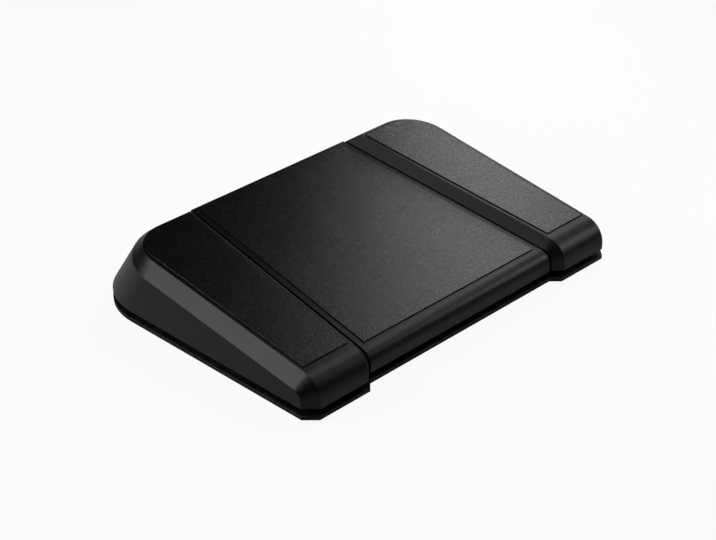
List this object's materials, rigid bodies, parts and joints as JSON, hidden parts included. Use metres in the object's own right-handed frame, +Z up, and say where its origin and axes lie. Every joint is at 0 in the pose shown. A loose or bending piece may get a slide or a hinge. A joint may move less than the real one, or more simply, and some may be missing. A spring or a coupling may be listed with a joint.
{
  "type": "usb foot pedal switch",
  "caption": "Wedge-shaped foot switch with side-by-side tread pedals hinged at the low heel edge on a flat steel base, with a USB-C socket at the back.",
  "frame": {"origin": "on the floor under the middle of the case, at the bottom of the rubber feet", "axes": "+X to the right across the pedals, +Y from the low heel edge to the high back, +Z up"},
  "size_m": [0.236, 0.18, 0.0448],
  "materials": {
    "plate_steel": "black powder coat over sheet steel",
    "foot_rubber": "matt black",
    "chassis_plastic": "matt black moulding",
    "screw_steel": "black zinc",
    "pin_steel": "ground",
    "spring_steel": "plain wire",
    "board_laminate": "dark green solder mask",
    "chip_plastic": "moulded black",
    "ribbon_plastic": "grey film",
    "switch_plastic": "moulded black",
    "slider_plastic": "moulded red",
    "socket_steel": "nickel plated",
    "shell_plastic": "satin black moulding",
    "tread_rubber": "fine pebble grain, matt black"
  },
  "bodies": {
    "base": {"base_plate": "plate_steel", "rubber_feet": "foot_rubber", "chassis": "chassis_plastic", "base_screws": "screw_steel", "hinge_pin_left": "pin_steel", "hinge_pin_centre": "pin_steel", "hinge_pin_right": "pin_steel", "hinge_pin_clips": "pin_steel", "spring_left": "spring_steel", "spring_centre": "spring_steel", "spring_right": "spring_steel", "rubber_stops": "foot_rubber", "main_board": "board_laminate", "switch_board_left": "board_laminate", "switch_board_right": "board_laminate", "board_screws": "screw_steel", "board_parts": "chip_plastic", "ribbon_left": "ribbon_plastic", "ribbon_right": "ribbon_plastic", "switch_body_left": "switch_plastic", "switch_body_centre": "switch_plastic", "switch_body_right": "switch_plastic", "socket_shell": "socket_steel", "socket_tongue": "chip_plastic"},
    "left_pedal": {"pedal_shell_left": "shell_plastic", "tread_pad_left": "tread_rubber"},
    "centre_pedal": {"pedal_shell_centre": "shell_plastic", "tread_pad_centre": "tread_rubber"},
    "right_pedal": {"pedal_shell_right": "shell_plastic", "tread_pad_right": "tread_rubber"},
    "left_slider": {"switch_slider_left": "slider_plastic"},
    "centre_slider": {"switch_slider_centre": "slider_plastic"},
    "right_slider": {"switch_slider_right": "slider_plastic"}
  },
  "joints": [
    {"name": "left_press", "type": "hinge", "parent": "base", "child": "left_pedal", "pos_m": [-0.0945, -0.0745, 0.012], "axis": [-1, 0, 0], "range_deg": [0, 1.2], "stiffness_Nm_per_rad": 33, "springref_deg": -2.06, "deforming": ["spring_left"]},
    {"name": "centre_press", "type": "hinge", "parent": "base", "child": "centre_pedal", "pos_m": [0, -0.0745, 0.012], "axis": [-1, 0, 0], "range_deg": [0, 1.2], "stiffness_Nm_per_rad": 33, "springref_deg": -2.06, "deforming": ["spring_centre"]},
    {"name": "right_press", "type": "hinge", "parent": "base", "child": "right_pedal", "pos_m": [0.0945, -0.0745, 0.012], "axis": [-1, 0, 0], "range_deg": [0, 1.2], "stiffness_Nm_per_rad": 33, "springref_deg": -2.06, "deforming": ["spring_right"]},
    {"name": "left_switch", "type": "slide", "parent": "base", "child": "left_slider", "axis": [0, 0, -1], "range_m": [0, 0.0025], "stiffness_N_per_m": 60, "springref_m": -0.004},
    {"name": "centre_switch", "type": "slide", "parent": "base", "child": "centre_slider", "axis": [0, 0, -1], "range_m": [0, 0.0025], "stiffness_N_per_m": 60, "springref_m": -0.004},
    {"name": "right_switch", "type": "slide", "parent": "base", "child": "right_slider", "axis": [0, 0, -1], "range_m": [0, 0.0025], "stiffness_N_per_m": 60, "springref_m": -0.004}
  ],
  "couplings": [
    {"joint": "left_switch", "follows": "left_press", "m_per_rad": 0.1165},
    {"joint": "centre_switch", "follows": "centre_press", "m_per_rad": 0.1165},
    {"joint": "right_switch", "follows": "right_press", "m_per_rad": 0.1165}
  ]
}
